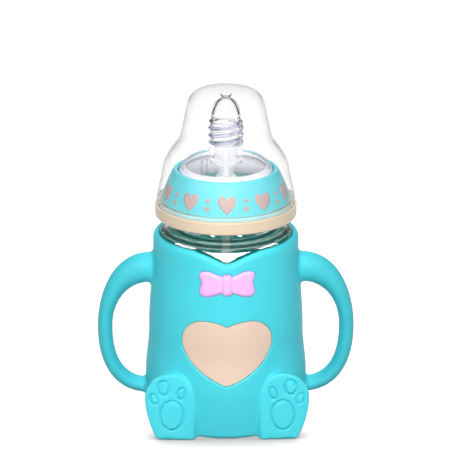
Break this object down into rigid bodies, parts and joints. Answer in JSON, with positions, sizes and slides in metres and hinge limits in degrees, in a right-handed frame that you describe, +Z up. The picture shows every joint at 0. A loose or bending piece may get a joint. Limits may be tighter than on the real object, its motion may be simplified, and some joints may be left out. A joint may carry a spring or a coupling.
{
  "type": "baby bottle",
  "caption": "Wide-neck glass baby bottle in a silicone sleeve with side handles and paw-shaped feet, with screw collar, ribbed teat, weighted straw and clear dust cap.",
  "frame": {"origin": "centre of the base, on the surface that the bottle stands on", "axes": "+Z up along the bottle's axis, -Y to the front with the bow, the heart and the soles, +X to the right handle"},
  "size_m": [0.1218, 0.0779, 0.1584],
  "materials": {
    "turquoise_silicone": "satin silicone",
    "peach_silicone": "satin silicone",
    "pink_silicone": "satin silicone",
    "clear_glass": "polished",
    "turquoise_plastic": "satin gloss",
    "cream_plastic": "satin",
    "clear_silicone": "clear silicone",
    "white_plastic": "translucent satin",
    "steel": "ground",
    "clear_plastic": "clear polished"
  },
  "bodies": {
    "sleeve": {"silicone_sleeve": "turquoise_silicone", "heart_inlay": "peach_silicone", "bow_tie": "pink_silicone"},
    "bottle": {"glass_bottle": "clear_glass"},
    "teat": {"teat": "clear_silicone", "straw_connector": "white_plastic"},
    "collar": {"screw_collar": "turquoise_plastic", "collar_base_ring": "cream_plastic"},
    "cap": {"dust_cap": "clear_plastic"},
    "straw": {"straw_tube": "clear_silicone", "weight_housing": "white_plastic", "weight_cage": "white_plastic", "steel_weight": "steel"}
  },
  "joints": [
    {"name": "bottle_lift", "type": "slide", "parent": "sleeve", "child": "bottle", "axis": [0, 0, 1], "range_m": [0, 0.095]},
    {"name": "teat_rise", "type": "slide", "parent": "bottle", "child": "teat", "axis": [0, 0, 1], "range_m": [0, 0.0068]},
    {"name": "collar_turn", "type": "hinge", "parent": "teat", "child": "collar", "pos_m": [0, 0, 0.11], "axis": [0, 0, 1], "range_deg": [0, 540]},
    {"name": "cap_lift", "type": "slide", "parent": "collar", "child": "cap", "axis": [0, 0, 1], "range_m": [0, 0.06]},
    {"name": "straw_swing", "type": "hinge", "parent": "teat", "child": "straw", "pos_m": [0, 0, 0.099], "axis": [0, 1, 0], "range_deg": [-12, 12], "deforming": ["straw_tube"]}
  ],
  "couplings": [
    {"joint": "teat_rise", "follows": "collar_turn", "m_per_rad": 0.0007162}
  ]
}
